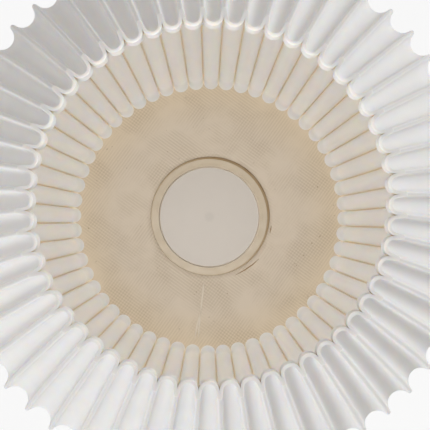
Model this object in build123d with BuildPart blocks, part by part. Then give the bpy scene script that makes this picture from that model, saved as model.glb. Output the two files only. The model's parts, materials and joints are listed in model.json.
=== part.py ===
"""Rechargeable table lamp: a fluted, open-topped printed shade over a drum base.

Millimetres, +Z up. The origin is the middle of the lamp's foot on the table, and the
rear, with the charging inlet and the push button, faces +Y.
"""

import os
from math import atan2, cos, pi, sin, sqrt

from build123d import *

# Shade: wall and floor are one print
shade_height = 147.4
shade_floor = 2.4
shade_wall = 1.2
rim_radius = 56.2
neck_height = 3.0
belly_radius = 91.4
belly_drop = 60.0
shade_foot_radius = 60.8
shoulder_fullness = 2.1
taper_fullness = 1.9
flute_count = 56
flute_depth = 4.4
fin_rounding = 0.75
fin_solid = 2.3
rib_roundness = 0.92
rim_flank = 2.1
belly_flank = 0.7
taper_spans = 4
shoulder_spans = 5
shoulder_crowding = 1.6

# Base: housing, cover, foot and ballast
base_inset = 1.2
base_wall = 2.2
base_top = 2.4
base_edge = 1.2
rear_flat_depth = 4.0
cover_thickness = 3.5
cover_edge = 0.8
cover_lip_height = 2.0
cover_lip_wall = 1.6
cover_fit = 0.2
foot_height = 1.5
foot_seat = 1.0
foot_ring_width = 8.0
foot_ring_inset = 13.2
foot_fit = 0.1
ballast_thickness = 4.0
ballast_gap = 1.6

# Light module
module_gap = 0.6
bezel_wall = 4.1
bezel_recess = 0.6
bezel_fit = 0.3
bezel_lip = 0.4
bezel_lip_width = 2.0
flange_thickness = 2.6
flange_width = 7.4
flange_boss_height = 2.6
collar_tail = 1.2
lens_radius = 21.4
lens_thickness = 2.0
lens_recess = 0.5
lens_fit = 0.25
lens_seat = 1.0
lens_edge = 0.3
lens_dimple_radius = 2.0
lens_dimple_depth = 0.25
reflector_fit = 0.15
reflector_rim = 1.0
reflector_throat = 13.0
board_thickness = 1.6
led_count = 6
led_circle = 8.0
led_length = 3.5
led_width = 2.8
led_height = 0.8
spreader_thickness = 2.0
spreader_margin = 6.3

# Battery
cell_radius = 9.2
cell_length = 65.2
cell_edge = 0.8
cell_spacing = 20.4
cell_fit = 0.15
cell_headroom = 2.0
tray_base = 1.2
tray_wall = 3.0
tray_cradle = 8.2
contact_thickness = 1.4
contact_height = 5.4
contact_overlap = 4.5
ear_radius = 4.5
ear_thickness = 2.0

# Rear panel: control board, inlet, button and charge light
control_width = 38.0
control_height = 24.0
control_setback = 8.0
post_radius = 2.6
post_inset = 3.0
usb_width = 8.94
usb_height = 3.26
usb_wall = 0.3
usb_sink = 0.4
usb_fit = 0.2
usb_back = 2.5
usb_tongue_width = 6.7
usb_tongue_thickness = 0.7
usb_tongue_sink = 1.0
button_offset = 12.0
button_radius = 4.5
button_proud = 1.2
button_fit = 0.2
button_flange = 1.5
button_flange_thickness = 1.0
button_edge = 0.5
button_seat_gap = 0.1
switch_side = 6.0
switch_height = 3.5
plunger_radius = 1.75
plunger_fit = 0.2
plunger_sunk = 1.6
plunger_room = 0.8
light_offset = 10.0
light_radius = 1.5
light_fit = 0.05
light_flange = 0.8
light_flange_thickness = 1.0
indicator_side = 1.6
indicator_height = 0.7

# Fasteners
large_shank = 1.5
large_head = 2.8
large_head_height = 1.8
large_length = 9.0
small_shank = 1.0
small_head = 1.9
small_head_height = 1.3
small_length = 4.0
screw_fit = 0.05
screw_wall = 1.4
screw_hole_end = 0.6
head_fit = 0.3
head_sink = 0.2
drive_length = 1.2
drive_width = 0.25
drive_depth = 0.6
cover_screw_count = 4
module_screw_count = 3
ballast_screw_count = 3
ballast_screw_circle = 26.0

# Leads
lead_radius = 0.65
lead_bend = 4.0
lead_clearance = 1.4
led_lead_spacing = 4.0
led_lead_drop = 6.6
battery_lead_spacing = 28.0
battery_lead_straight = 10.0
battery_lead_end = 8.6

# Heights, from the foot up
cover_level = foot_height + cover_thickness
ballast_level = cover_level + ballast_thickness
cell_level = ballast_level + tray_base + cell_radius
spreader_level = cell_level + cell_radius + cell_headroom
led_board_level = spreader_level + spreader_thickness
collar_level = led_board_level + board_thickness
flange_level = collar_level + collar_tail
flange_top = flange_level + flange_thickness
ceiling_level = flange_top + flange_boss_height
base_height = ceiling_level + base_top
deck_level = base_height + shade_floor
bezel_level = deck_level - bezel_recess
lens_level = bezel_level - lens_recess - lens_thickness
neck_level = shade_height - neck_height
belly_level = shade_height - belly_drop
panel_level = (cover_level + ceiling_level) / 2

# Radii, from the shade in
half_flute = pi / flute_count
base_radius = shade_foot_radius - flute_depth - base_inset
inner_radius = base_radius - base_wall
rear_flat = base_radius - rear_flat_depth
rear_inside = rear_flat - base_wall
boss_radius = large_shank + screw_fit + screw_wall
boss_circle = inner_radius - cover_fit - cover_lip_wall - cover_fit - boss_radius
ballast_radius = boss_circle - boss_radius - ballast_gap
foot_ring_outer = base_radius - foot_ring_inset
foot_ring_inner = foot_ring_outer - foot_ring_width
bezel_bore = lens_radius + lens_fit - lens_seat
bezel_radius = bezel_bore + bezel_wall
deck_hole_radius = bezel_radius + module_gap
flange_radius = bezel_radius + flange_width
flange_screw_circle = bezel_radius + flange_width / 2
flange_boss_radius = small_shank + screw_fit + screw_wall
module_screw_circle = bezel_bore + bezel_wall / 2
spreader_radius = bezel_radius - spreader_margin

# Battery tray
trough_length = cell_length + 2 * contact_thickness
tray_length = trough_length + 2 * tray_wall
tray_width = cell_spacing + 2 * (cell_radius + cell_fit) + tray_wall
tray_top = ballast_level + tray_base + tray_cradle
contact_width = cell_spacing + 2 * contact_overlap
ear_place = tray_width / 2 + small_head + head_fit
cell_places = {"battery_cell_front": -cell_spacing / 2, "battery_cell_rear": cell_spacing / 2}

# Rear panel as seen from behind: x to the right, y up, depth along -z
rear_panel = Plane(origin=(0, rear_flat, panel_level), x_dir=(-1, 0, 0), z_dir=(0, 1, 0))
panel_inside = rear_panel.offset(-base_wall)
board_face = rear_panel.offset(-control_setback)
board_back = board_face.offset(-board_thickness)
button_seat = rear_panel.offset(-base_wall - button_seat_gap)
button_back = button_seat.offset(-button_flange_thickness)
switch_face = board_face.offset(switch_height)
plunger_end = switch_face.offset(-plunger_sunk)
plunger_length = plunger_sunk + control_setback - switch_height - base_wall
plunger_length -= button_seat_gap + button_flange_thickness
post_x = control_width / 2 - post_inset
post_y = control_height / 2 - post_inset
post_places = [(-post_x, -post_y), (post_x, post_y)]

low_end = (Align.CENTER, Align.CENTER, Align.MIN)
high_end = (Align.CENTER, Align.CENTER, Align.MAX)


def polar(radius, angle):
    return (radius * cos(angle), radius * sin(angle))


def fin_reach(level):
    """Radius over the fins at a height above the shade's underside."""
    if level >= neck_level:
        return rim_radius
    if level >= belly_level:
        rise = (level - belly_level) / (neck_level - belly_level)
        return belly_radius - (belly_radius - rim_radius) * rise**shoulder_fullness
    drop = (belly_level - level) / belly_level
    return belly_radius - (belly_radius - shade_foot_radius) * drop**taper_fullness


def wall_stretch(level):
    """How much longer a level cut through the sloping wall is than the wall is thick."""
    step = neck_height / 10
    low, high = max(level - step, 0), min(level + step, shade_height)
    slope = (fin_reach(high) - fin_reach(low)) / (high - low)
    return sqrt(1 + slope**2)


def ring_section(flute, level):
    """The face inside one flute's outline repeated round the axis."""
    with BuildSketch(Plane.XY.offset(base_height + level)) as section:
        with BuildLine():
            with PolarLocations(0, flute_count):
                add(flute)
        make_face()
    return section.sketch


def outer_section(level):
    """Channels with round bottoms and straight flanks between narrow round-tipped fins."""
    tip = fin_reach(level)
    channel_floor = tip - flute_depth
    fin_centre = tip - fin_rounding
    across, aside = polar(fin_centre, half_flute)
    depth = across - channel_floor
    flank = rim_flank + (belly_flank - rim_flank) * (tip - rim_radius) / (belly_radius - rim_radius)
    channel = (depth**2 + aside**2 - fin_rounding**2 - flank**2) / (2 * (depth + fin_rounding))
    normal = atan2(aside, depth - channel) + atan2(flank, channel + fin_rounding)
    low_x = channel_floor + channel + channel * cos(normal)
    low_y = channel * sin(normal)
    high_x = across - fin_rounding * cos(normal)
    high_y = aside - fin_rounding * sin(normal)
    low, low_turn = sqrt(low_x**2 + low_y**2), atan2(low_y, low_x)
    high, high_turn = sqrt(high_x**2 + high_y**2), atan2(high_y, high_x)
    flank_low, flank_high = polar(low, low_turn), polar(high, high_turn)
    next_low = polar(low, 2 * half_flute - low_turn)
    next_high = polar(high, 2 * half_flute - high_turn)
    with BuildLine() as flute:
        ThreePointArc(polar(low, -low_turn), (channel_floor, 0), flank_low)
        Line(flank_low, flank_high)
        ThreePointArc(flank_high, polar(tip, half_flute), next_high)
        Line(next_high, next_low)
    return ring_section(flute.line, level)


def inner_section(level):
    """Round ribs that bulge inward and meet in sharp grooves behind the fins."""
    stretch = wall_stretch(level)
    rib = fin_reach(level) - flute_depth - shade_wall * stretch
    roundest = rib / (cos(half_flute) - rib_roundness * sin(half_flute))
    groove = min(fin_reach(level) - fin_solid * stretch, roundest)
    with BuildLine() as flute:
        ThreePointArc(polar(groove, -half_flute), (rib, 0), polar(groove, half_flute))
    return ring_section(flute.line, level)


def base_outline(radius, flat):
    """A circle with a flat across its rear."""
    Circle(radius)
    with Locations((0, flat - radius)):
        Rectangle(2 * radius, 2 * radius, mode=Mode.INTERSECT)


def ring_places(radius, count, start, level, facing):
    """Places on a level circle that face up or down."""
    turns = [start + 2 * pi * index / count for index in range(count)]
    return [Plane(origin=(*polar(radius, turn), level), z_dir=facing).location for turn in turns]


def screws(places, shank, head, head_height, length):
    """Pan-head screws with a cross recess, each seated under its head at its place."""
    with Locations(*places):
        Cylinder(shank, length, align=high_end)
        Cylinder(head, head_height, align=low_end)
        with Locations((0, 0, head_height)):
            long, narrow, deep = head * drive_length, head * drive_width, head_height * drive_depth
            Box(long, narrow, deep, align=high_end, mode=Mode.SUBTRACT)
            Box(narrow, long, deep, align=high_end, mode=Mode.SUBTRACT)


def screw_holes(places, shank, depth):
    """Holes down from the places for screws of that shank."""
    with Locations(*places):
        Cylinder(shank + screw_fit, depth, align=high_end, mode=Mode.SUBTRACT)


def head_holes(places, head, depth):
    """Room above the places for screw heads."""
    with Locations(*places):
        Cylinder(head + head_fit, depth, align=low_end, mode=Mode.SUBTRACT)


def write(name, piece):
    piece.label = name
    export_step(piece, f"parts/{name}.step")


upward, downward = (0, 0, 1), (0, 0, -1)
cover_seat = foot_height + large_head_height + head_sink
ballast_seat = foot_height + small_head_height + head_sink
cover_places = ring_places(boss_circle, cover_screw_count, pi / 4, cover_seat, downward)
ballast_places = ring_places(ballast_screw_circle, ballast_screw_count, 0, ballast_seat, downward)
flange_places = ring_places(flange_screw_circle, module_screw_count, -pi / 2, flange_level, downward)
module_places = ring_places(module_screw_circle, module_screw_count, -pi / 2, led_board_level, downward)
ear_places = [Location((0, side * ear_place, ballast_level + ear_thickness)) for side in (-1, 1)]
board_places = [board_back.location * Location((x, y, 0), (180, 0, 0)) for x, y in post_places]

os.makedirs("parts", exist_ok=True)

# Shade: the two lofts never cross, so their faces and the rim between them close the shell
taper_levels = [belly_level * index / taper_spans for index in range(taper_spans)]
shoulder_shares = [1 - index / shoulder_spans for index in range(shoulder_spans + 1)]
shoulder_levels = [
    neck_level - (neck_level - belly_level) * share**shoulder_crowding for share in shoulder_shares
]
upper_levels = taper_levels[1:] + shoulder_levels + [shade_height]
outside = loft(sections=[outer_section(level) for level in [0] + upper_levels])
inside = loft(sections=[inner_section(level) for level in [shade_floor] + upper_levels])
outside_ends = outside.faces().filter_by(GeomType.PLANE).sort_by(Axis.Z)
inside_ends = inside.faces().filter_by(GeomType.PLANE).sort_by(Axis.Z)
rim = Face(outside_ends[-1].outer_wire(), [inside_ends[-1].outer_wire()])
walls = [*outside.faces(), *inside.faces()]
skin = [face for face in walls if face.geom_type != GeomType.PLANE]
with BuildPart() as shade:
    add(Solid(Shell([*skin, outside_ends[0], inside_ends[0], rim])))
    with Locations((0, 0, base_height)):
        Cylinder(deck_hole_radius, shade_floor, align=low_end, mode=Mode.SUBTRACT)
write("shade", shade.part)

# Base housing: a drum with a closed top, screw bosses and the openings of the rear panel
with BuildPart() as base_housing:
    with BuildSketch(Plane.XY.offset(cover_level)):
        base_outline(base_radius, rear_flat)
    extrude(amount=base_height - cover_level)
    fillet(base_housing.faces().sort_by(Axis.Z)[-1].edges(), base_edge)
    with BuildSketch(Plane.XY.offset(cover_level)):
        base_outline(inner_radius, rear_inside)
    extrude(amount=ceiling_level - cover_level, mode=Mode.SUBTRACT)
    with Locations(*ring_places(boss_circle, cover_screw_count, pi / 4, cover_level, upward)):
        Cylinder(boss_radius, ceiling_level - cover_level, align=low_end)
    with Locations(*ring_places(flange_screw_circle, module_screw_count, -pi / 2, flange_top, upward)):
        Cylinder(flange_boss_radius, flange_boss_height, align=low_end)
    with BuildSketch(panel_inside):
        with Locations(*post_places):
            Circle(post_radius)
    extrude(amount=base_wall - control_setback)
    with Locations((0, 0, ceiling_level)):
        Cylinder(bezel_radius + bezel_fit, base_top, align=low_end, mode=Mode.SUBTRACT)
    screw_holes(cover_places, large_shank, large_length + screw_hole_end)
    screw_holes(flange_places, small_shank, small_length + screw_hole_end)
    screw_holes(board_places, small_shank, small_length + screw_hole_end)
    with BuildSketch(rear_panel):
        SlotOverall(usb_width + 2 * usb_fit, usb_height + 2 * usb_fit)
        with Locations((button_offset, 0)):
            Circle(button_radius + button_fit)
        with Locations((-light_offset, 0)):
            Circle(light_radius + light_fit)
    extrude(amount=-base_wall, mode=Mode.SUBTRACT)
write("base_housing", base_housing.part)

# Base cover: closes the drum from below and carries the foot and the ballast
with BuildPart() as base_cover:
    with BuildSketch(Plane.XY.offset(foot_height)):
        base_outline(base_radius, rear_flat)
    extrude(amount=cover_thickness)
    chamfer(base_cover.faces().sort_by(Axis.Z)[0].edges(), cover_edge)
    with BuildSketch(Plane.XY.offset(cover_level)):
        base_outline(inner_radius - cover_fit, rear_inside - cover_fit)
    extrude(amount=cover_lip_height)
    with BuildSketch(Plane.XY.offset(cover_level)):
        lip_inset = cover_fit + cover_lip_wall
        base_outline(inner_radius - lip_inset, rear_inside - lip_inset)
    extrude(amount=cover_lip_height, mode=Mode.SUBTRACT)
    with BuildSketch(Plane.XY.offset(foot_height)):
        Circle(foot_ring_outer + foot_fit)
        Circle(foot_ring_inner - foot_fit, mode=Mode.SUBTRACT)
    extrude(amount=foot_seat, mode=Mode.SUBTRACT)
    screw_holes(cover_places, large_shank, cover_thickness)
    head_holes(cover_places, large_head, cover_thickness)
    screw_holes(ballast_places, small_shank, cover_thickness)
    head_holes(ballast_places, small_head, cover_thickness)
write("base_cover", base_cover.part)

with BuildPart() as cover_screws:
    screws(cover_places, large_shank, large_head, large_head_height, large_length)
write("cover_screws", cover_screws.part)

with BuildPart() as foot_ring:
    with BuildSketch():
        Circle(foot_ring_outer)
        Circle(foot_ring_inner, mode=Mode.SUBTRACT)
    extrude(amount=foot_height + foot_seat)
write("foot_ring", foot_ring.part)

# Ballast: a steel disc, tapped for the screws of the cover and of the tray
with BuildPart() as ballast_plate:
    with Locations((0, 0, cover_level)):
        Cylinder(ballast_radius, ballast_thickness, align=low_end)
    screw_holes(ballast_places, small_shank, small_length + screw_hole_end)
    screw_holes(ear_places, small_shank, small_length + screw_hole_end)
write("ballast_plate", ballast_plate.part)

with BuildPart() as ballast_screws:
    screws(ballast_places, small_shank, small_head, small_head_height, small_length)
write("ballast_screws", ballast_screws.part)

# Battery: two cells in a tray with a contact strip across each end
with BuildPart() as battery_tray:
    with Locations((0, 0, ballast_level)):
        Box(tray_length, tray_width, tray_top - ballast_level, align=low_end)
        with Locations(*[(side * (trough_length + tray_wall) / 2, 0) for side in (-1, 1)]):
            Box(tray_wall, tray_width, tray_top + contact_height - ballast_level, align=low_end)
        with Locations((0, -ear_place), (0, ear_place)):
            Cylinder(ear_radius, ear_thickness, align=low_end)
    with Locations(*[Location((0, y, cell_level), (0, 90, 0)) for y in cell_places.values()]):
        Cylinder(cell_radius + cell_fit, trough_length, mode=Mode.SUBTRACT)
    screw_holes(ear_places, small_shank, ear_thickness)
    head_holes(ear_places, small_head, tray_cradle)
write("battery_tray", battery_tray.part)

for name, y in cell_places.items():
    with BuildPart() as battery_cell:
        with Locations(Location((0, y, cell_level), (0, 90, 0))):
            Cylinder(cell_radius, cell_length)
        fillet(battery_cell.edges().filter_by(GeomType.CIRCLE), cell_edge)
    write(name, battery_cell.part)

with BuildPart() as battery_contacts:
    for side in (-1, 1):
        with Locations((side * (cell_length + contact_thickness) / 2, 0, tray_top)):
            Box(contact_thickness, contact_width, contact_height, align=low_end)
write("battery_contacts", battery_contacts.part)

with BuildPart() as tray_screws:
    screws(ear_places, small_shank, small_head, small_head_height, small_length)
write("tray_screws", tray_screws.part)

# Light module: a collar through the deck with a flange that hangs from the housing's top
with BuildPart() as led_bezel:
    with Locations((0, 0, collar_level)):
        Cylinder(bezel_radius, bezel_level - collar_level, align=low_end)
    with Locations((0, 0, flange_level)):
        Cylinder(flange_radius, flange_thickness, align=low_end)
    with Locations((0, 0, collar_level)):
        Cylinder(bezel_bore, bezel_level - collar_level, align=low_end, mode=Mode.SUBTRACT)
    with Locations((0, 0, lens_level)):
        Cylinder(lens_radius + lens_fit, bezel_level - lens_level, align=low_end, mode=Mode.SUBTRACT)
    with Locations((0, 0, bezel_level)):
        Cylinder(bezel_radius - bezel_lip_width, bezel_lip, align=high_end, mode=Mode.SUBTRACT)
    screw_holes(flange_places, small_shank, flange_thickness)
    screw_holes(module_places, small_shank, small_length + screw_hole_end)
write("led_bezel", led_bezel.part)

with BuildPart() as bezel_screws:
    screws(flange_places, small_shank, small_head, small_head_height, small_length)
write("bezel_screws", bezel_screws.part)

with BuildPart() as diffuser_lens:
    with Locations((0, 0, lens_level)):
        Cylinder(lens_radius, lens_thickness, align=low_end)
    chamfer(diffuser_lens.edges().sort_by(Axis.Z)[-1], lens_edge)
    with Locations((0, 0, lens_level + lens_thickness)):
        Cylinder(lens_dimple_radius, lens_dimple_depth, align=high_end, mode=Mode.SUBTRACT)
write("diffuser_lens", diffuser_lens.part)

with BuildPart() as reflector_cup:
    reflector_outer = bezel_bore - reflector_fit
    reflector_height = lens_level - collar_level
    with Locations((0, 0, collar_level)):
        Cylinder(reflector_outer, reflector_height, align=low_end)
        Cone(
            reflector_throat,
            reflector_outer - reflector_rim,
            reflector_height,
            align=low_end,
            mode=Mode.SUBTRACT,
        )
write("reflector_cup", reflector_cup.part)

with BuildPart() as led_board:
    with Locations((0, 0, led_board_level)):
        Cylinder(bezel_radius, board_thickness, align=low_end)
    screw_holes(module_places, small_shank, board_thickness)
write("led_board", led_board.part)

with BuildPart() as led_chips:
    with BuildSketch(Plane.XY.offset(collar_level)):
        Rectangle(led_length, led_width)
        with PolarLocations(led_circle, led_count):
            Rectangle(led_length, led_width)
    extrude(amount=led_height)
write("led_chips", led_chips.part)

with BuildPart() as heat_spreader:
    with Locations((0, 0, spreader_level)):
        Cylinder(spreader_radius, spreader_thickness, align=low_end)
write("heat_spreader", heat_spreader.part)

with BuildPart() as module_screws:
    screws(module_places, small_shank, small_head, small_head_height, small_length)
write("module_screws", module_screws.part)

# Control board behind the rear panel, with the inlet, the switch and the charge light
with BuildPart() as control_board:
    with BuildSketch(board_face):
        Rectangle(control_width, control_height)
    extrude(amount=-board_thickness)
    screw_holes(board_places, small_shank, board_thickness)
write("control_board", control_board.part)

with BuildPart() as board_screws:
    screws(board_places, small_shank, small_head, small_head_height, small_length)
write("board_screws", board_screws.part)

with BuildPart() as usb_c_shell:
    with BuildSketch(board_face):
        SlotOverall(usb_width, usb_height)
        SlotOverall(usb_width - 2 * usb_wall, usb_height - 2 * usb_wall, mode=Mode.SUBTRACT)
    extrude(amount=control_setback - usb_sink)
write("usb_c_shell", usb_c_shell.part)

with BuildPart() as usb_c_tongue:
    with BuildSketch(board_face):
        SlotOverall(usb_width - 2 * usb_wall, usb_height - 2 * usb_wall)
    extrude(amount=usb_back)
    with BuildSketch(board_face):
        Rectangle(usb_tongue_width, usb_tongue_thickness)
    extrude(amount=control_setback - usb_sink - usb_tongue_sink)
write("usb_c_tongue", usb_c_tongue.part)

with BuildPart() as tact_switch:
    with BuildSketch(board_face):
        with Locations((button_offset, 0)):
            Rectangle(switch_side, switch_side)
    extrude(amount=switch_height)
    with BuildSketch(switch_face):
        with Locations((button_offset, 0)):
            Circle(plunger_radius + plunger_fit)
    extrude(amount=-plunger_sunk - plunger_room, mode=Mode.SUBTRACT)
write("tact_switch", tact_switch.part)

with BuildPart() as switch_plunger:
    with BuildSketch(plunger_end):
        with Locations((button_offset, 0)):
            Circle(plunger_radius)
    extrude(amount=plunger_length)
write("switch_plunger", switch_plunger.part)

with BuildPart() as power_button:
    with BuildSketch(button_back):
        with Locations((button_offset, 0)):
            Circle(button_radius + button_flange)
    extrude(amount=button_flange_thickness)
    with BuildSketch(button_seat):
        with Locations((button_offset, 0)):
            Circle(button_radius)
    extrude(amount=button_seat_gap + base_wall + button_proud)
    fillet(power_button.edges().sort_by(Axis.Y)[-1], button_edge)
write("power_button", power_button.part)

with BuildPart() as indicator_led:
    with BuildSketch(board_face):
        with Locations((-light_offset, 0)):
            Rectangle(indicator_side, indicator_side)
    extrude(amount=indicator_height)
write("indicator_led", indicator_led.part)

with BuildPart() as charge_light_pipe:
    with BuildSketch(board_face.offset(indicator_height)):
        with Locations((-light_offset, 0)):
            Circle(light_radius)
    extrude(amount=control_setback - indicator_height)
    with BuildSketch(panel_inside):
        with Locations((-light_offset, 0)):
            Circle(light_radius + light_flange)
    extrude(amount=-light_flange_thickness)
write("charge_light_pipe", charge_light_pipe.part)

# Leads: from the control board to the lamp's board and to the battery's contact strips
board_back_y = rear_flat - control_setback - board_thickness
led_lead_y = spreader_radius + lead_radius + lead_clearance
led_lead_level = led_board_level - led_lead_drop
with BuildPart() as led_leads:
    for side in (-1, 1):
        x = side * led_lead_spacing / 2
        with BuildLine() as route:
            FilletPolyline(
                (x, board_back_y, led_lead_level),
                (x, led_lead_y, led_lead_level),
                (x, led_lead_y, led_board_level),
                radius=lead_bend,
            )
        with BuildSketch(Plane(origin=route.line @ 0, z_dir=route.line % 0)):
            Circle(lead_radius)
        sweep()
write("led_leads", led_leads.part)

contact_x = (cell_length + contact_thickness) / 2
contact_y = contact_width / 2
battery_lead_level = tray_top + contact_height / 2
with BuildPart() as battery_leads:
    for side in (-1, 1):
        with BuildLine() as route:
            FilletPolyline(
                (side * contact_x, contact_y, battery_lead_level),
                (side * contact_x, contact_y + battery_lead_straight, battery_lead_level),
                (side * battery_lead_spacing / 2, board_back_y - battery_lead_end, battery_lead_level),
                (side * battery_lead_spacing / 2, board_back_y, battery_lead_level),
                radius=lead_bend,
            )
        with BuildSketch(Plane(origin=route.line @ 0, z_dir=route.line % 0)):
            Circle(lead_radius)
        sweep()
write("battery_leads", battery_leads.part)
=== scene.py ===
"""Looks of the rechargeable table lamp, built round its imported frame.

Metres, +Z up. The photograph looks straight down, with +X to its right and +Y to its top.
"""

import json
from math import atan2, cos, hypot, pi, radians, sin, sqrt

import bpy
from mathutils import Matrix, Vector


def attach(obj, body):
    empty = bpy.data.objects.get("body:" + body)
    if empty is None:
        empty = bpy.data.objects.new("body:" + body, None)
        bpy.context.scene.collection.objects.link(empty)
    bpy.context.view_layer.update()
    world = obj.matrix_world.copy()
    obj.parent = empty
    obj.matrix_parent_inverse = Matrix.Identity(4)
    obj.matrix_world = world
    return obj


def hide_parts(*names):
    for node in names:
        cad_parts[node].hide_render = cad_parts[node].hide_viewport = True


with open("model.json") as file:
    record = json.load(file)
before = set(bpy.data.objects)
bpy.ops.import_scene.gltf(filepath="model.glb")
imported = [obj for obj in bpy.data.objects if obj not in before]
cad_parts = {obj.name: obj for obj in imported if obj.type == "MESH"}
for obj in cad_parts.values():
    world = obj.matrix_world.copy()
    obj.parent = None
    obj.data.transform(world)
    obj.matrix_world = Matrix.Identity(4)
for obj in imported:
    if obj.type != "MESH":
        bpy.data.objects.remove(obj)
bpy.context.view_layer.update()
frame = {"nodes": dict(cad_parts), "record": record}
scene = bpy.context.scene
scene.view_settings.view_transform = "Standard"
mm = 0.001

# Shade sizes in millimetres, as in the part's source
base_height = 43.0
shade_height = 147.4
shade_floor = 2.4
shade_wall = 1.2
rim_radius = 56.2
neck_height = 3.0
belly_radius = 91.4
belly_drop = 60.0
shade_foot_radius = 60.8
shoulder_fullness = 2.1
taper_fullness = 1.9
flute_count = 56
flute_depth = 4.4
fin_rounding = 0.75
fin_solid = 2.3
rib_roundness = 0.92
rim_flank = 2.1
belly_flank = 0.7
deck_hole_radius = 25.35
deck_level = base_height + shade_floor
neck_level = shade_height - neck_height
belly_level = shade_height - belly_drop
half_flute = pi / flute_count

# Shade details that only show up close
rim_edge = 0.22
rim_bevel = rim_edge / 3
foot_edge = 0.5
deck_fillet = 1.9
hole_edge = 0.25
hole_lip_radius = deck_hole_radius + hole_edge
hole_shift = (0.38, 0.36)
bead_point = 0.25

# Fineness of the meshes
taper_rings = 20
shoulder_rings = 24
shoulder_crowding = 1.6
floor_rings = 14
fillet_steps = 6
channel_steps = 6
flank_steps = 2
fin_steps = 4
half_steps = channel_steps + flank_steps + fin_steps
ring_steps = 240
sharp_fold = radians(50)
tiny = 1e-9

outside_zone, rim_zone, inside_zone, floor_zone, hole_zone = range(5)


def polar(radius, angle):
    return (radius * cos(angle), radius * sin(angle))


def fin_reach(level):
    """Radius over the fins at a height above the shade's underside."""
    if level >= neck_level:
        return rim_radius
    if level >= belly_level:
        rise = (level - belly_level) / (neck_level - belly_level)
        return belly_radius - (belly_radius - rim_radius) * rise**shoulder_fullness
    drop = (belly_level - level) / belly_level
    return belly_radius - (belly_radius - shade_foot_radius) * drop**taper_fullness


def wall_stretch(level):
    """How much longer a level cut through the sloping wall is than the wall is thick."""
    step = neck_height / 10
    low, high = max(level - step, 0), min(level + step, shade_height)
    slope = (fin_reach(high) - fin_reach(low)) / (high - low)
    return sqrt(1 + slope**2)


def outside_half(level):
    """Points from a channel's bottom to the next fin's tip."""
    tip = fin_reach(level)
    channel_floor = tip - flute_depth
    fin_centre = tip - fin_rounding
    across, aside = polar(fin_centre, half_flute)
    depth = across - channel_floor
    flank = rim_flank + (belly_flank - rim_flank) * (tip - rim_radius) / (belly_radius - rim_radius)
    channel = (depth**2 + aside**2 - fin_rounding**2 - flank**2) / (2 * (depth + fin_rounding))
    channel_centre = channel_floor + channel
    normal = atan2(aside, depth - channel) + atan2(flank, channel + fin_rounding)
    points = []
    for step in range(channel_steps + 1):
        turn = pi + (normal - pi) * step / channel_steps
        points.append((channel_centre + channel * cos(turn), channel * sin(turn)))
    low = points[-1]
    high = (across - fin_rounding * cos(normal), aside - fin_rounding * sin(normal))
    for step in range(1, flank_steps):
        share = step / flank_steps
        points.append((low[0] + (high[0] - low[0]) * share, low[1] + (high[1] - low[1]) * share))
    for step in range(fin_steps + 1):
        turn = normal - pi + (half_flute - normal + pi) * step / fin_steps
        points.append((across + fin_rounding * cos(turn), aside + fin_rounding * sin(turn)))
    return points


def inside_half(level):
    """Points from a rib's crest to the groove behind the next fin."""
    stretch = wall_stretch(level)
    rib = fin_reach(level) - flute_depth - shade_wall * stretch
    roundest = rib / (cos(half_flute) - rib_roundness * sin(half_flute))
    groove = min(fin_reach(level) - fin_solid * stretch, roundest)
    end_x, end_y = polar(groove, half_flute)
    centre = (end_x**2 + end_y**2 - rib**2) / (2 * (end_x - rib))
    end = atan2(end_y, end_x - centre)
    steps = [pi + (end - pi) * step / half_steps for step in range(half_steps + 1)]
    return [(centre + (centre - rib) * cos(turn), (centre - rib) * sin(turn)) for turn in steps]


def ring(half, level):
    """One flute's half, mirrored and repeated round the axis at a level."""
    turns = [(hypot(x, y), atan2(y, x)) for x, y in half]
    flute = turns + [(radius, 2 * half_flute - angle) for radius, angle in turns[-2:0:-1]]
    height = base_height + level
    return [(*polar(radius, angle + 2 * half_flute * index), height)
            for index in range(flute_count) for radius, angle in flute]


def drawn(points, others, length, level):
    """Points moved by a length towards others, at a level."""
    moved = []
    for (x, y, _), (to_x, to_y, _) in zip(points, others):
        share = length / max(hypot(to_x - x, to_y - y), tiny)
        moved.append((x + (to_x - x) * share, y + (to_y - y) * share, base_height + level))
    return moved


def inward(points, length, level):
    """Points moved by a length towards the axis, at a level."""
    return [(*polar(hypot(x, y) - length, atan2(y, x)), base_height + level) for x, y, _ in points]


def towards_hole(points, radius, share, level):
    """Points a share of the way to a circle of that radius round the hole's middle, at a level."""
    moved = []
    for x, y, _ in points:
        to_x, to_y = polar(radius, atan2(y, x))
        to_x, to_y = to_x + hole_shift[0], to_y + hole_shift[1]
        moved.append((x + (to_x - x) * share, y + (to_y - y) * share, base_height + level))
    return moved


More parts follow.
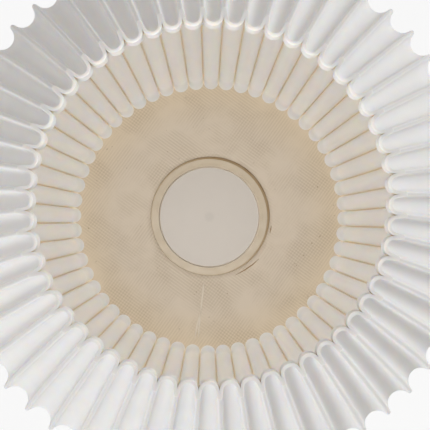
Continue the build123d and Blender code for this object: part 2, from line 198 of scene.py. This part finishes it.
def shade_mesh():
    """The whole shade as one closed band of rings, zone by zone."""
    taper = [belly_level * step / taper_rings for step in range(taper_rings)]
    steps = [1 - (1 - step / shoulder_rings) ** shoulder_crowding for step in range(shoulder_rings + 1)]
    shoulder = [belly_level + (neck_level - belly_level) * step for step in steps]
    levels = taper[1:] + shoulder + [(neck_level + shade_height) / 2, shade_height - rim_edge]
    top_outside = ring(outside_half(shade_height), shade_height)
    top_inside = ring(inside_half(shade_height), shade_height)
    foot = ring(outside_half(0), foot_edge)
    deck = ring(inside_half(shade_floor), shade_floor)
    bands = []
    bands.append((outside_zone, towards_hole(foot, deck_hole_radius, 1, 0)))
    bands.append((outside_zone, inward(foot, foot_edge, 0)))
    bands.append((outside_zone, foot))
    bands += [(outside_zone, ring(outside_half(level), level)) for level in levels]
    bands.append((rim_zone, drawn(top_outside, top_inside, rim_bevel, shade_height - rim_bevel)))
    bands.append((rim_zone, drawn(top_outside, top_inside, rim_edge, shade_height)))
    bands.append((rim_zone, drawn(top_inside, top_outside, rim_edge, shade_height)))
    bands.append((rim_zone, drawn(top_inside, top_outside, rim_bevel, shade_height - rim_bevel)))
    above = [level for level in levels if level > shade_floor + 2 * deck_fillet]
    bands += [(inside_zone, ring(inside_half(level), level)) for level in reversed(above)]
    for step in range(fillet_steps):
        turn = pi / 2 * step / fillet_steps
        inset = deck_fillet * (1 - cos(turn))
        level = shade_floor + deck_fillet * (1 - sin(turn))
        bands.append((inside_zone, inward(ring(inside_half(level), level), inset, level)))
    edge = inward(deck, deck_fillet, shade_floor)
    for step in range(floor_rings + 1):
        bands.append((floor_zone, towards_hole(edge, hole_lip_radius, step / floor_rings, shade_floor)))
    bands.append((hole_zone, towards_hole(edge, deck_hole_radius, 1, shade_floor - hole_edge)))
    count = len(deck)
    points = [(x * mm, y * mm, z * mm) for _, band in bands for x, y, z in band]
    faces, zones = [], []
    for index, (zone, _) in enumerate(bands):
        here, there = index * count, (index + 1) % len(bands) * count
        for step in range(count):
            after = (step + 1) % count
            faces.append((here + step, here + after, there + after, there + step))
            zones.append(zone)
    mesh = bpy.data.meshes.new("shade_print")
    mesh.from_pydata(points, [], faces)
    mesh.polygons.foreach_set("material_index", zones)
    mesh.shade_smooth()
    mesh.set_sharp_from_angle(angle=sharp_fold)
    return mesh


def ring_mesh(name, inner, outer, shift, low, high, dip, dip_turn):
    """A ring round the axis, its outside off centre by a shift and its top lowest at one turn."""
    points, faces = [], []
    for step in range(ring_steps):
        turn = 2 * pi * step / ring_steps
        near, (far_x, far_y) = polar(inner, turn), polar(outer, turn)
        far = (far_x + shift[0], far_y + shift[1])
        top = high - dip * (1 + cos(turn - dip_turn)) / 2
        corners = ((near, low), (far, low), (far, top), (near, top))
        points += [(x * mm, y * mm, z * mm) for (x, y), z in corners]
    for here in range(0, 4 * ring_steps, 4):
        there = (here + 4) % (4 * ring_steps)
        for side in range(4):
            after = (side + 1) % 4
            faces.append((here + side, there + side, there + after, here + after))
    mesh = bpy.data.meshes.new(name)
    mesh.from_pydata(points, [], faces)
    return mesh


def bead_mesh(name, route, width, height):
    """A low round bead along a route on the shade's floor, pointed at both ends."""
    profile = [(-0.5, -0.3), (-0.38, 0.6), (0.0, 1.0), (0.38, 0.6), (0.5, -0.3)]
    points, faces = [], []
    for index, (x, y) in enumerate(route):
        back, ahead = route[max(index - 1, 0)], route[min(index + 1, len(route) - 1)]
        along = Vector((ahead[0] - back[0], ahead[1] - back[1])).normalized()
        size = bead_point if index in (0, len(route) - 1) else 1.0
        for side, rise in profile:
            offset = side * width * size
            lift = deck_level + rise * height * size
            points.append(((x - along.y * offset) * mm, (y + along.x * offset) * mm, lift * mm))
    count = len(profile)
    for index in range(len(route) - 1):
        here = index * count
        for step in range(count):
            after = (step + 1) % count
            faces.append((here + step, here + count + step, here + count + after, here + after))
    faces.append(tuple(range(count)))
    faces.append(tuple(reversed(range(len(points) - count, len(points)))))
    mesh = bpy.data.meshes.new(name)
    mesh.from_pydata(points, [], faces)
    mesh.shade_smooth()
    return mesh


# Colours

print_white = (0.88, 0.875, 0.88)
# Painted shade: the fins outside darker along their crests
fin_painted_shade = (0.74, 0.735, 0.74)
print_rim = (0.86, 0.85, 0.845)
print_cream = (0.9, 0.897, 0.9)
# Painted shade: tan in the grooves inside, where the wall folds
groove_painted_shade = (0.9, 0.82, 0.68)
# Painted shade: darker in the cove at the foot of the ribs
cove_painted_shade = (0.735, 0.725, 0.71)
# Painted shade: dark brown on the wall of the deck's hole; the brown lines beside the hole take it too
gap_brown = (0.3, 0.19, 0.08)
print_seam = (0.74, 0.67, 0.57)
# Painted shade: the floor darker and warmer than the walls, yellower at its edge by the wall
floor_painted_shade = (0.63, 0.55, 0.45)
floor_painted_shade_edge = (0.645, 0.54, 0.395)
hatch_colour = (0.3, 0.22, 0.13)
speck_colour = (0.24, 0.16, 0.08)
lens_colour = (0.53, 0.495, 0.46)
lens_gate_colour = (0.49, 0.46, 0.43)
# Painted highlight: the diffuser's bevelled edge lighter and creamier
lens_edge_painted_light = (0.76, 0.67, 0.56)

# Patterns: sizes and pitches in metres, ranges of noise, shares of colour

noise_range = (0.3, 0.7)
blotch_size = 0.012
blotch_range = (0.35, 0.65)
blotch_shade = 0.97
sheen_size = 0.004
print_roughness = (0.5, 0.62)
print_grain = 0.0012
print_relief = 0.00004
scatter_tint = (1.0, 0.85, 0.65)
outside_scatter = 0.001
rim_scatter = 0.0006
inside_scatter = 0.0008
hole_scatter = 0.0004
layer_pitch = 0.00028
layer_relief = 0.00003
fold_range = (0.4, 0.49)
floor_edge_reach = (0.040, 0.056)
hatch_pitch = 0.00115
hatch_turn = radians(35)
hatch_wobble = 0.3
hatch_patch_size = 0.014
hatch_patch_range = (0.4, 0.6)
across_patch_size = 0.023
across_patch_range = (0.44, 0.56)
hatch_share = 0.23
hatch_relief = 0.00008
speck_size = 0.0016
speck_range = (0.76, 0.8)
speck_share = 0.5
plastic_blotch = 0.009
plastic_shade = 0.93
plastic_sheen = 0.003
plastic_grain = 0.0007
plastic_relief = 0.00002
gap_shading_blotch = 0.005
gap_shading_mottle = 0.8
metal_lines = 0.0006
metal_stain = 0.006
metal_shade = 0.86
trace_pitch = 0.004
trace_width = 0.06
trace_relief = 0.00003
board_cloud = 0.002
lens_gate_reach = (0.0012, 0.0026)
lens_bevel_reach = (0.021, 0.02115)
lens_cloud = 0.008
lens_grain = 0.0009


# Materials


def add(tree, kind, **values):
    """A node with its properties and input values set by name."""
    made = tree.nodes.new("ShaderNode" + kind)
    for name, value in values.items():
        if name in made.inputs:
            made.inputs[name].default_value = value
        else:
            setattr(made, name, value)
    return made


def shader_tree(name):
    """A new material's tree and its main shader."""
    material = bpy.data.materials.new(name)
    material.use_nodes = True
    tree = material.node_tree
    tree.nodes.clear()
    output = add(tree, "OutputMaterial")
    shader = add(tree, "BsdfPrincipled")
    tree.links.new(shader.outputs["BSDF"], output.inputs["Surface"])
    return material, tree, shader


def place(tree, stretch=(1, 1, 1), turn=0.0):
    """Object coordinates, stretched and turned about Z."""
    coordinates = add(tree, "TexCoord")
    mapping = add(tree, "Mapping", Scale=stretch, Rotation=(0, 0, turn))
    tree.links.new(coordinates.outputs["Object"], mapping.inputs["Vector"])
    return mapping.outputs["Vector"]


def split_place(tree):
    """Object coordinates as three values."""
    split = add(tree, "SeparateXYZ")
    tree.links.new(place(tree), split.inputs["Vector"])
    return split


def axis_reach(tree):
    """Distance from the lamp's axis."""
    made = add(tree, "VectorMath", operation="LENGTH")
    tree.links.new(place(tree, (1, 1, 0)), made.inputs[0])
    return made.outputs["Value"]


def noise(tree, where, size, detail=3.0):
    made = add(tree, "TexNoise", Scale=1 / size, Detail=detail)
    tree.links.new(where, made.inputs["Vector"])
    return made.outputs["Fac"]


def even_lines(tree, where, pitch, direction, distortion=0.0):
    """Even lines of a pitch across a direction."""
    made = add(tree, "TexWave", Scale=pi / (10 * pitch), Distortion=distortion)
    made.wave_type = "BANDS"
    made.bands_direction = direction
    tree.links.new(where, made.inputs["Vector"])
    return made.outputs["Fac"]


def ramp(tree, value, low, high, to_low=0.0, to_high=1.0):
    """A value mapped from one range to another, held at its ends."""
    made = add(tree, "MapRange")
    made.inputs["From Min"].default_value = low
    made.inputs["From Max"].default_value = high
    made.inputs["To Min"].default_value = to_low
    made.inputs["To Max"].default_value = to_high
    tree.links.new(value, made.inputs["Value"])
    return made.outputs["Result"]


def mix(tree, share, first, second):
    """A colour between two, each given or linked."""
    made = add(tree, "Mix", data_type="RGBA")
    tree.links.new(share, made.inputs["Factor"])
    for socket, colour in ((made.inputs[6], first), (made.inputs[7], second)):
        if isinstance(colour, tuple):
            socket.default_value = (*colour, 1)
        else:
            tree.links.new(colour, socket)
    return made.outputs[2]


def calc(tree, operation, first, second):
    """One operation on two values, each given or linked."""
    made = add(tree, "Math", operation=operation)
    for socket, value in zip(made.inputs, (first, second)):
        if isinstance(value, (int, float)):
            socket.default_value = value
        else:
            tree.links.new(value, socket)
    return made.outputs["Value"]


def bump(tree, shader, height, distance, strength=1.0, before=None):
    """Fine relief on a shader, over an earlier one if given."""
    made = add(tree, "Bump", Strength=strength, Distance=distance)
    tree.links.new(height, made.inputs["Height"])
    if before:
        tree.links.new(before, made.inputs["Normal"])
    tree.links.new(made.outputs["Normal"], shader.inputs["Normal"])
    return made.outputs["Normal"]


def scaled(colour, share):
    return tuple(part * share for part in colour)


def cove_share(tree):
    """One at the foot of the ribs, nothing above the cove that joins them to the floor."""
    return ramp(tree, split_place(tree).outputs["Z"], (deck_level + deck_fillet) * mm, deck_level * mm)


def fold_share(tree):
    """One along the wall's folds, the fins outside and the grooves inside, nothing between them."""
    split = split_place(tree)
    turn = calc(tree, "ARCTAN2", split.outputs["Y"], split.outputs["X"])
    flute = calc(tree, "PINGPONG", calc(tree, "MULTIPLY", turn, flute_count / (2 * pi)), 0.5)
    return ramp(tree, flute, *fold_range)


def print_material(name, colour, scatter, layers=True, painted_fold_shade=None, painted_cove_shade=None):
    """Printed plastic: soft blotches in its colour, light that soaks in, fine layer lines, and where
    given, painted shade along the folds and in the cove.
    """
    material, tree, shader = shader_tree(name)
    where = place(tree)
    blotch = ramp(tree, noise(tree, where, blotch_size), *blotch_range)
    base = mix(tree, blotch, colour, scaled(colour, blotch_shade))
    if painted_cove_shade:
        base = mix(tree, cove_share(tree), base, painted_cove_shade)
    if painted_fold_shade:
        base = mix(tree, fold_share(tree), base, painted_fold_shade)
    tree.links.new(base, shader.inputs["Base Color"])
    sheen = ramp(tree, noise(tree, where, sheen_size), *noise_range, *print_roughness)
    tree.links.new(sheen, shader.inputs["Roughness"])
    shader.inputs["Subsurface Weight"].default_value = 1.0
    shader.inputs["Subsurface Radius"].default_value = scatter_tint
    shader.inputs["Subsurface Scale"].default_value = scatter
    grain = bump(tree, shader, noise(tree, where, print_grain), print_relief, 0.3)
    if layers:
        bump(tree, shader, even_lines(tree, where, layer_pitch, "Z"), layer_relief, 0.35, grain)
    return material


def floor_material(colour, edge_colour):
    """The printed floor: crossed print lines, painted shade that darkens it and turns it yellower towards
    the wall, a few specks.
    """
    material, tree, shader = shader_tree("shade_floor_print")
    where = place(tree)
    base = mix(tree, ramp(tree, axis_reach(tree), *floor_edge_reach), colour, edge_colour)
    lines = even_lines(tree, place(tree, turn=hatch_turn), hatch_pitch, "X", hatch_wobble)
    across = even_lines(tree, place(tree, turn=hatch_turn + pi / 2), hatch_pitch, "X", hatch_wobble)
    line_patches = ramp(tree, noise(tree, where, hatch_patch_size), *hatch_patch_range)
    across_patches = ramp(tree, noise(tree, where, across_patch_size), *across_patch_range)
    lines = calc(tree, "MULTIPLY", lines, line_patches)
    across = calc(tree, "MULTIPLY", across, across_patches)
    woven = calc(tree, "ADD", lines, across)
    lined = mix(tree, calc(tree, "MULTIPLY", woven, hatch_share), base, hatch_colour)
    specks = ramp(tree, noise(tree, where, speck_size, 1.0), *speck_range, 0.0, speck_share)
    tree.links.new(mix(tree, specks, lined, speck_colour), shader.inputs["Base Color"])
    shader.inputs["Roughness"].default_value = 0.5
    bump(tree, shader, woven, hatch_relief, 0.5)
    return material


def plastic_material(name, colour, roughness, grain=plastic_grain, relief=plastic_relief, coat=0.0):
    """Moulded plastic or rubber: a fine grain and slightly uneven colour."""
    material, tree, shader = shader_tree(name)
    where = place(tree)
    uneven = ramp(tree, noise(tree, where, plastic_blotch), *noise_range)
    tree.links.new(mix(tree, uneven, colour, scaled(colour, plastic_shade)), shader.inputs["Base Color"])
    sheen = noise(tree, where, plastic_sheen)
    polish = ramp(tree, sheen, *noise_range, roughness - 0.05, roughness + 0.05)
    tree.links.new(polish, shader.inputs["Roughness"])
    shader.inputs["Coat Weight"].default_value = coat
    bump(tree, shader, noise(tree, where, grain), relief, 0.6)
    return material


def gap_shading_material(name, deep, shallow, low, high):
    """Painted shade for a ring in a gap, darker where it lies deep."""
    material, tree, shader = shader_tree(name)
    where = place(tree)
    height = ramp(tree, split_place(tree).outputs["Z"], low * mm, high * mm)
    uneven = ramp(tree, noise(tree, where, gap_shading_blotch), *noise_range, 0.0, 0.3)
    colour = mix(tree, height, deep, shallow)
    tree.links.new(mix(tree, uneven, colour, scaled(shallow, gap_shading_mottle)), shader.inputs["Base Color"])
    shader.inputs["Roughness"].default_value = 0.6
    bump(tree, shader, noise(tree, where, plastic_grain), plastic_relief, 0.6)
    return material


def metal_material(name, colour, roughness, stretch):
    """Metal with fine lines along one direction and faint stains."""
    material, tree, shader = shader_tree(name)
    lines = noise(tree, place(tree, stretch), metal_lines, 2.0)
    stain = ramp(tree, noise(tree, place(tree), metal_stain), 0.4, 0.7)
    tree.links.new(mix(tree, stain, colour, scaled(colour, metal_shade)), shader.inputs["Base Color"])
    polish = ramp(tree, lines, *noise_range, roughness - 0.08, roughness + 0.08)
    tree.links.new(polish, shader.inputs["Roughness"])
    shader.inputs["Metallic"].default_value = 1.0
    bump(tree, shader, lines, 0.00001, 0.5)
    return material


def board_material(name, mask, trace, roughness):
    """A circuit board: solder mask over faint square-cornered traces."""
    material, tree, shader = shader_tree(name)
    where = place(tree)
    bricks = add(tree, "TexBrick", Scale=1 / trace_pitch)
    bricks.inputs["Mortar Size"].default_value = trace_width
    bricks.inputs["Color1"].default_value = (1, 1, 1, 1)
    bricks.inputs["Color2"].default_value = (1, 1, 1, 1)
    bricks.inputs["Mortar"].default_value = (0, 0, 0, 1)
    tree.links.new(where, bricks.inputs["Vector"])
    base = mix(tree, bricks.outputs["Fac"], mask, trace)
    cloudy = ramp(tree, noise(tree, where, board_cloud), *noise_range, 0.0, 0.25)
    tree.links.new(mix(tree, cloudy, base, scaled(mask, 0.8)), shader.inputs["Base Color"])
    shader.inputs["Roughness"].default_value = roughness
    bump(tree, shader, bricks.outputs["Fac"], trace_relief, 0.6)
    return material


def lens_material():
    """Milky diffuser: a little darker at its gate mark, with a painted highlight that makes its bevelled
    edge lighter and creamier.
    """
    material, tree, shader = shader_tree("diffuser_milk")
    reach = axis_reach(tree)
    gate = mix(tree, ramp(tree, reach, *lens_gate_reach), lens_gate_colour, lens_colour)
    edged = mix(tree, ramp(tree, reach, *lens_bevel_reach), gate, lens_edge_painted_light)
    cloudy = ramp(tree, noise(tree, place(tree), lens_cloud), *noise_range, 0.0, 0.12)
    tree.links.new(mix(tree, cloudy, edged, scaled(lens_colour, 0.94)), shader.inputs["Base Color"])
    shader.inputs["Roughness"].default_value = 0.42
    bump(tree, shader, noise(tree, place(tree), lens_grain), plastic_relief, 0.25)
    return material


slot_materials = {
    "base_plastic": plastic_material("base_moulding", (0.8, 0.79, 0.77), 0.45),
    "foot_rubber": plastic_material("foot_rubber", (0.34, 0.33, 0.32), 0.8, 0.0005, 0.00004),
    "bezel_plastic": plastic_material("bezel_moulding", (0.53, 0.445, 0.325), 0.42),
    "diffuser": lens_material(),
    "reflector_white": plastic_material("reflector_gloss", (0.9, 0.9, 0.89), 0.18, coat=0.3),
    "board_white": board_material("led_board_mask", (0.86, 0.86, 0.85), (0.7, 0.71, 0.7), 0.35),
    "led_phosphor": plastic_material("led_phosphor", (0.9, 0.68, 0.16), 0.3, 0.0003),
    "aluminium": metal_material("spreader_aluminium", (0.78, 0.79, 0.8), 0.32, (1, 12, 1)),
    "steel": metal_material("zinc_steel", (0.62, 0.63, 0.65), 0.3, (1, 1, 10)),
    "board_green": board_material("control_board_mask", (0.015, 0.09, 0.04), (0.05, 0.2, 0.1), 0.35),
    "black_plastic": plastic_material("black_moulding", (0.03, 0.03, 0.032), 0.5),
    "cell_wrap": plastic_material("cell_shrink_wrap", (0.04, 0.12, 0.34), 0.25, 0.003, 0.00005, 0.3),
    "contact_metal": metal_material("contact_nickel", (0.72, 0.69, 0.62), 0.22, (8, 1, 1)),
    "clear_pipe": plastic_material("clear_light_pipe", (0.85, 0.88, 0.88), 0.12, coat=0.5),
    "lead_insulation": plastic_material("lead_insulation", (0.5, 0.03, 0.025), 0.5, 0.001),
}
for part in frame["record"]["subparts"]:
    if part["material_slot"] in slot_materials:
        materials = frame["nodes"][part["node"]].data.materials
        materials.clear()
        materials.append(slot_materials[part["material_slot"]])


# Shade


def piece(name, mesh, body):
    made = bpy.data.objects.new(name, mesh)
    scene.collection.objects.link(made)
    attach(made, body)
    return made


shade = piece("fluted_shade", shade_mesh(), "shade")
for zone_material in (
    print_material("shade_outside", print_white, outside_scatter, painted_fold_shade=fin_painted_shade),
    print_material("shade_rim", print_rim, rim_scatter, layers=False),
    print_material("shade_inside", print_cream, inside_scatter,
                   painted_fold_shade=groove_painted_shade, painted_cove_shade=cove_painted_shade),
    floor_material(floor_painted_shade, floor_painted_shade_edge),
    print_material("shade_hole", gap_brown, hole_scatter),
):
    shade.data.materials.append(zone_material)
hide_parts("shade")

# Beads along routes on the floor: width and height, then the places of their bends
seam_size = (0.8, 0.1)
seam_routes = {
    "seam_stem": [(-2.0, -27.7), (-2.3, -31.0), (-2.6, -34.4), (-2.95, -37.4), (-3.2, -40.2)],
    "seam_left": [(-3.2, -39.8), (-4.0, -43.6), (-4.9, -47.6), (-5.6, -51.7)],
    "seam_right": [(-3.3, -40.6), (-3.6, -44.2), (-3.9, -48.0), (-4.0, -51.7)],
}
# Thin brown lines on the floor beside the hole's edge
brown_line_size = (0.5, 0.04)
brown_line_routes = {
    "brown_line_right": [(26.5, -3.4), (26.2, -5.0), (25.9, -6.8)],
    "brown_line_low": [(21.4, -17.6), (18.6, -20.2), (15.2, -22.6), (11.2, -24.8)],
}
seam_material = plastic_material("shade_seam", print_seam, 0.5)
brown_line_material = plastic_material("shade_brown_line", gap_brown, 0.6)
beads = ((seam_routes, seam_size, seam_material), (brown_line_routes, brown_line_size, brown_line_material))
for routes, size, bead_material in beads:
    for name, route in routes.items():
        bead = piece(name, bead_mesh(name, route, *size), "shade")
        bead.data.materials.append(bead_material)


# Rings that close the gaps round the light module, in painted shade: darker where they lie deep and
# towards one turn
lens_radius = 21.4
lens_gap = 0.25
lens_low, lens_high = 42.3, 44.3
bezel_radius = 24.75
ring_fit = 0.01
shade_gap_shading_top = 45.2
shade_gap_shading_dip = 1.8
shade_gap_shading_turn = radians(50)
lens_gap_shading_dip = 1.6
lens_gap_shading_turn = radians(205)


def gap_shading(name, inner, outer, shift, low, high, dip, dip_turn, deep, shallow):
    """A ring of painted shade in a gap, its top lowest and darkest at one turn."""
    mesh = ring_mesh(name, inner + ring_fit, outer - ring_fit, shift, low + ring_fit, high, dip, dip_turn)
    made = piece(name, mesh, "base")
    made.data.materials.append(gap_shading_material(name, deep, shallow, high - dip, high))


gap_shading("shade_gap_shading", bezel_radius, deck_hole_radius, hole_shift, base_height,
     shade_gap_shading_top, shade_gap_shading_dip, shade_gap_shading_turn, (0.36, 0.24, 0.11), (0.58, 0.48, 0.34))
gap_shading("lens_gap_shading", lens_radius, lens_radius + lens_gap, (0, 0), lens_low,
     lens_high, lens_gap_shading_dip, lens_gap_shading_turn, (0.4, 0.37, 0.34), (0.72, 0.63, 0.52))


# Camera: near the lamp's axis, looking down

image_size = 430
focal_pixels = 1019
axis_pixel = (206, 246)
rim_pixel = (211.3, 202.3)
rim_scale = 3.514
rim_centre = Vector((0, 0, (base_height + shade_height) * mm))
camera_roll = radians(0.7)
sensor_width = 36

middle = image_size / 2
lean_x = (middle - axis_pixel[0]) / focal_pixels
lean_y = (axis_pixel[1] - middle) / focal_pixels
forward = Vector((lean_x, lean_y, -1)).normalized()
level_right = Vector((cos(camera_roll), sin(camera_roll), 0))
right = (level_right - forward * forward.dot(level_right)).normalized()
up = right.cross(forward)
depth = focal_pixels / rim_scale * mm
shift_right = (rim_pixel[0] - middle) / rim_scale * mm
shift_up = (middle - rim_pixel[1]) / rim_scale * mm
camera_data = bpy.data.cameras.new("camera")
camera_data.sensor_width = sensor_width
camera_data.lens = focal_pixels / image_size * sensor_width
camera_data.clip_start = 0.01
camera = bpy.data.objects.new("camera", camera_data)
scene.collection.objects.link(camera)
eye = rim_centre - right * shift_right - up * shift_up - forward * depth
turned = Matrix((right, up, -forward)).transposed().to_4x4()
camera.matrix_world = Matrix.Translation(eye) @ turned
scene.camera = camera


# Light, floor and background

ambient_level = 0.53
ambient_colour = (1.0, 0.97, 0.93, 1)
white = (1, 1, 1, 1)
light_aim = Vector((0, 0, 0.12))
light_distance = 1.2
light_size = 0.5
cool_light = (0.95, 0.98, 1.0)
warm_light = (1.0, 0.95, 0.88)
down_share = 0.75
down_size = 0.003
down_blend = 0.02
lit_mouth_radius = 0.0496
floor_reach = 3
floor_glow = 0.85


def is_seen(tree):
    """One for rays that show the background: from the camera, a gloss or a glass."""
    path = add(tree, "LightPath")
    seen = path.outputs["Is Camera Ray"]
    for name in ("Is Glossy Ray", "Is Transmission Ray"):
        seen = calc(tree, "MAXIMUM", seen, path.outputs[name])
    return seen


world = bpy.data.worlds.new("studio")
world.use_nodes = True
scene.world = world
tree = world.node_tree
tree.nodes.clear()
ambient = add(tree, "Background", Color=ambient_colour, Strength=ambient_level)
backdrop = add(tree, "Background", Color=white, Strength=1.0)
choice = add(tree, "MixShader")
output = add(tree, "OutputWorld")
tree.links.new(is_seen(tree), choice.inputs["Fac"])
tree.links.new(ambient.outputs[0], choice.inputs[1])
tree.links.new(backdrop.outputs[0], choice.inputs[2])
tree.links.new(choice.outputs[0], output.inputs["Surface"])


def light(name, azimuth, elevation, power, colour):
    """A soft panel that faces the lamp."""
    data = bpy.data.lights.new(name, "AREA")
    data.shape = "DISK"
    data.size = light_size
    data.energy = power
    data.color = colour
    made = bpy.data.objects.new(name, data)
    scene.collection.objects.link(made)
    turn, rise = radians(azimuth), radians(elevation)
    way = Vector((cos(turn) * cos(rise), sin(turn) * cos(rise), sin(rise)))
    made.location = light_aim + way * light_distance
    made.rotation_euler = way.to_track_quat("Z", "Y").to_euler()


light("key_light", 246, 20, 4.6, cool_light)
light("side_light", 24, 20, 4.4, cool_light)
light("fill_light", 185, 22, 1.0, (0.97, 0.98, 1.0))

# A small lamp from above lights the inside through the mouth
down_place = rim_centre.lerp(camera.matrix_world.translation, down_share)
down_way = down_place - rim_centre
down_light = bpy.data.lights.new("down_light", "SPOT")
down_light.energy = 2.4
down_light.color = warm_light
down_light.shadow_soft_size = down_size
down_light.spot_size = 2 * atan2(lit_mouth_radius, down_way.length)
down_light.spot_blend = down_blend
down_lamp = bpy.data.objects.new("down_light", down_light)
scene.collection.objects.link(down_lamp)
down_lamp.location = down_place
down_lamp.rotation_euler = down_way.to_track_quat("Z", "Y").to_euler()

floor_mesh = bpy.data.meshes.new("floor")
floor_turns = ((-1, -1), (1, -1), (1, 1), (-1, 1))
floor_corners = [(x * floor_reach, y * floor_reach, 0) for x, y in floor_turns]
floor_mesh.from_pydata(floor_corners, [], [(0, 1, 2, 3)])
floor = bpy.data.objects.new("floor", floor_mesh)
scene.collection.objects.link(floor)
material, tree, shader = shader_tree("pale_floor")
paper = ramp(tree, noise(tree, place(tree), 0.02), *noise_range)
tree.links.new(mix(tree, paper, (0.82, 0.82, 0.81), (0.8, 0.8, 0.8)), shader.inputs["Base Color"])
shader.inputs["Roughness"].default_value = 0.9
glow = add(tree, "Emission", Color=white, Strength=1.0)
blend = add(tree, "MixShader")
tree.links.new(calc(tree, "MULTIPLY", is_seen(tree), floor_glow), blend.inputs["Fac"])
tree.links.new(shader.outputs["BSDF"], blend.inputs[1])
tree.links.new(glow.outputs["Emission"], blend.inputs[2])
surface = next(made for made in tree.nodes if made.type == "OUTPUT_MATERIAL")
tree.links.new(blend.outputs["Shader"], surface.inputs["Surface"])
floor_mesh.materials.append(material)
